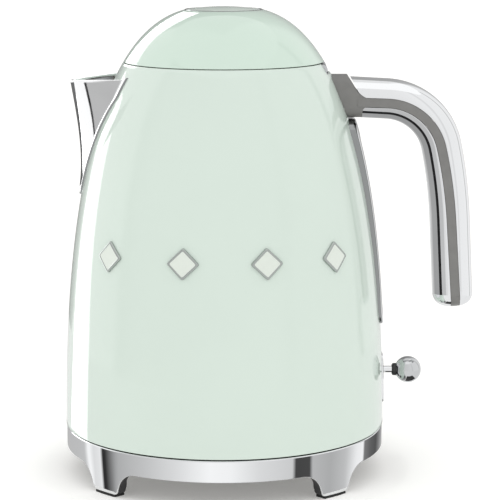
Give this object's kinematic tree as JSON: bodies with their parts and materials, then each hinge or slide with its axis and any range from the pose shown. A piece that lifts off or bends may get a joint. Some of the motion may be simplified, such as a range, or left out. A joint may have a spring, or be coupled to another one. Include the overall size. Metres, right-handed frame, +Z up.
{
  "type": "electric kettle",
  "caption": "Cordless electric kettle with a bell-shaped enamelled body, V spout, bent chrome handle, water gauge, hinged domed lid and a round power base.",
  "frame": {"origin": "on the table, under the middle of the power base, on the axis that the kettle swivels about", "axes": "+Z up; -X towards the spout; +X towards the handle, gauge and power lever; +Y across"},
  "size_m": [0.2182, 0.1708, 0.2482],
  "materials": {
    "body_enamel": "glossy pastel green enamel",
    "button_enamel": "glossy pastel green enamel, slightly deeper",
    "emblem_metal": "cream enamel with a bright edge",
    "chrome": "mirror chrome",
    "spout_steel": "polished steel",
    "vessel_steel": "satin stainless steel",
    "screw_steel": "bright plated steel",
    "element_steel": "dull heat-tinted steel",
    "aluminium": "cast, matte",
    "grey_plastic": "fine-grained grey moulding",
    "dark_plastic": "matte charcoal moulding",
    "white_plastic": "off-white moulding",
    "window_plastic": "clear, lightly frosted",
    "silicone": "translucent white silicone",
    "rubber": "matte black rubber",
    "brass": "bright contact brass"
  },
  "bodies": {
    "base": {"base_ring": "chrome", "foot_pads": "rubber", "base_deck": "dark_plastic", "base_cover": "dark_plastic", "cord_gland": "dark_plastic", "base_screws": "screw_steel", "connector_pillar": "dark_plastic"},
    "connector": {"connector_core": "dark_plastic", "core_contacts": "brass"},
    "kettle": {"body_base": "dark_plastic", "body_base_screws": "screw_steel", "connector_socket": "dark_plastic", "socket_contacts": "brass", "thermostat_control": "white_plastic", "bimetal_discs": "screw_steel", "heating_element": "element_steel", "heat_diffuser": "aluminium", "floor_plate": "vessel_steel", "floor_seal": "silicone", "switch_frame": "dark_plastic", "rocker_pin": "screw_steel", "switch_spring": "screw_steel", "lever_bracket": "dark_plastic", "lever_pin": "screw_steel", "slot_bezel": "chrome", "body_shell": "body_enamel", "steam_tube": "vessel_steel", "steam_tube_grommet": "silicone", "neck_collar": "vessel_steel", "spout_beak": "spout_steel", "spout_flange": "spout_steel", "filter_clips": "vessel_steel", "gauge_frame": "chrome", "gauge_window": "window_plastic", "gauge_gasket": "silicone", "handle_block": "grey_plastic", "handle_core": "grey_plastic", "handle_outer_shell": "chrome", "handle_inner_shell": "chrome", "handle_screws": "screw_steel", "handle_seals": "silicone", "body_emblems": "emblem_metal", "hinge_pin": "screw_steel", "hinge_spring": "screw_steel", "hinge_damper": "dark_plastic"},
    "lever": {"power_lever": "chrome", "lever_collar": "dark_plastic", "lever_ball": "chrome"},
    "rocker": {"switch_rocker": "white_plastic"},
    "filter": {"filter_frame": "white_plastic", "filter_mesh": "vessel_steel"},
    "lid": {"lid_dome": "body_enamel", "lid_liner": "vessel_steel", "lid_frame": "dark_plastic", "lid_seal": "silicone", "lid_hinge_arm": "vessel_steel", "button_bezel": "chrome", "button_spring": "screw_steel"},
    "button": {"lid_button": "button_enamel"},
    "latch": {"latch_slide": "white_plastic"}
  },
  "joints": [
    {"name": "kettle_swivel", "type": "hinge", "parent": "base", "child": "connector", "pos_m": [0, 0, 0.02], "axis": [0, 0, 1], "continuous": true},
    {"name": "kettle_lift", "type": "slide", "parent": "connector", "child": "kettle", "axis": [0, 0, 1], "range_m": [0, 0.06]},
    {"name": "lid_hinge", "type": "hinge", "parent": "kettle", "child": "lid", "pos_m": [0.0516, 0, 0.2162], "axis": [0, 1, 0], "range_deg": [0, 85]},
    {"name": "lid_button_press", "type": "slide", "parent": "lid", "child": "button", "axis": [0, 0, -1], "range_m": [0, 0.003], "stiffness_N_per_m": 400, "deforming": ["button_spring"]},
    {"name": "latch_retract", "type": "slide", "parent": "lid", "child": "latch", "axis": [1, 0, 0], "range_m": [0, 0.003]},
    {"name": "power_lever_tilt", "type": "hinge", "parent": "kettle", "child": "lever", "pos_m": [0.066, 0, 0.0533], "axis": [0, 1, 0], "range_deg": [0, 18]},
    {"name": "switch_rock", "type": "hinge", "parent": "kettle", "child": "rocker", "pos_m": [0.048, 0, 0.0533], "axis": [0, 1, 0], "range_deg": [-18, 0], "deforming": ["switch_spring"]},
    {"name": "filter_unclip", "type": "slide", "parent": "kettle", "child": "filter", "axis": [1, 0, 0], "range_m": [0, 0.02]}
  ],
  "couplings": [
    {"joint": "latch_retract", "follows": "lid_button_press", "ratio": 1},
    {"joint": "switch_rock", "follows": "power_lever_tilt", "ratio": -1}
  ]
}
